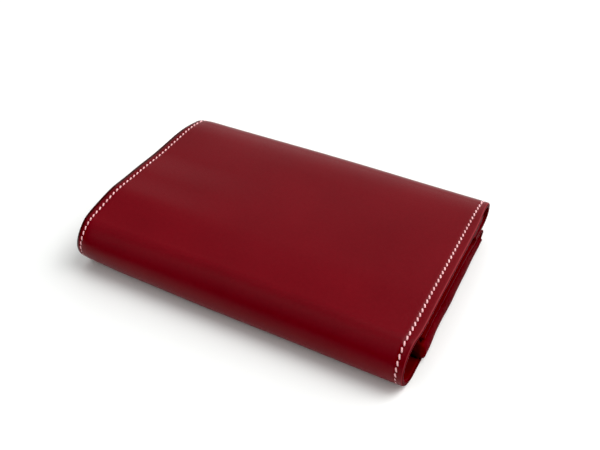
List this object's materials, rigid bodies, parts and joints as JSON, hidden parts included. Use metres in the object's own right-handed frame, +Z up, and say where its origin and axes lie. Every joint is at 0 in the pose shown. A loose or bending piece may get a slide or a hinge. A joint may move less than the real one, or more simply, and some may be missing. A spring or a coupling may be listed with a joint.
{
  "type": "folding card holder",
  "caption": "Folding leather card holder, closed: a leaf with a gusseted pocket and a leaf with staggered card slots, joined by a soft spine.",
  "frame": {"origin": "centre of the case's outline on the surface it lies on", "axes": "+X along the spine, +Y from the spine to the far edge, +Z up through the closed case"},
  "size_m": [0.1146, 0.072, 0.016],
  "materials": {
    "outer_leather": "smooth glossy box calf",
    "lining_leather": "fine matt lining leather",
    "gusset_leather": "thin supple calf",
    "thread": "waxed linen thread",
    "board": "grey bookbinder's board"
  },
  "bodies": {
    "base_leaf": {"base_cover": "outer_leather", "base_board": "board", "base_lining": "lining_leather", "base_stitches_left": "thread", "base_stitches_right": "thread", "gusset_left": "gusset_leather", "gusset_right": "gusset_leather"},
    "spine": {"spine_cover": "outer_leather", "spine_lining": "lining_leather", "spine_stitches_left": "thread", "spine_stitches_right": "thread"},
    "top_leaf": {"top_cover": "outer_leather", "top_board": "board", "top_lining": "lining_leather", "top_stitches_left": "thread", "top_stitches_right": "thread", "card_slot_1": "lining_leather", "card_slot_2": "lining_leather", "card_slot_3": "lining_leather", "slot_stitches_left": "thread", "slot_stitches_right": "thread"},
    "pocket_front": {"pocket_wall": "outer_leather", "pocket_lining": "lining_leather", "slip_pocket": "outer_leather", "pocket_stitches_left": "thread", "pocket_stitches_right": "thread"}
  },
  "joints": [
    {"name": "lower_crease", "type": "hinge", "parent": "base_leaf", "child": "spine", "pos_m": [0, -0.03366, 0.00234], "axis": [1, 0, 0], "range_deg": [0, 90]},
    {"name": "upper_crease", "type": "hinge", "parent": "spine", "child": "top_leaf", "pos_m": [0, -0.03366, 0.01366], "axis": [1, 0, 0], "range_deg": [0, 90]},
    {"name": "pocket_open", "type": "hinge", "parent": "base_leaf", "child": "pocket_front", "pos_m": [0, 0.0355, 0.0042], "axis": [-1, 0, 0], "range_deg": [0, 13.5], "deforming": ["gusset_left", "gusset_right"]}
  ],
  "couplings": [
    {"joint": "upper_crease", "follows": "lower_crease", "ratio": 1},
    {"joint": "pocket_open", "follows": "lower_crease", "ratio": 0.15}
  ]
}
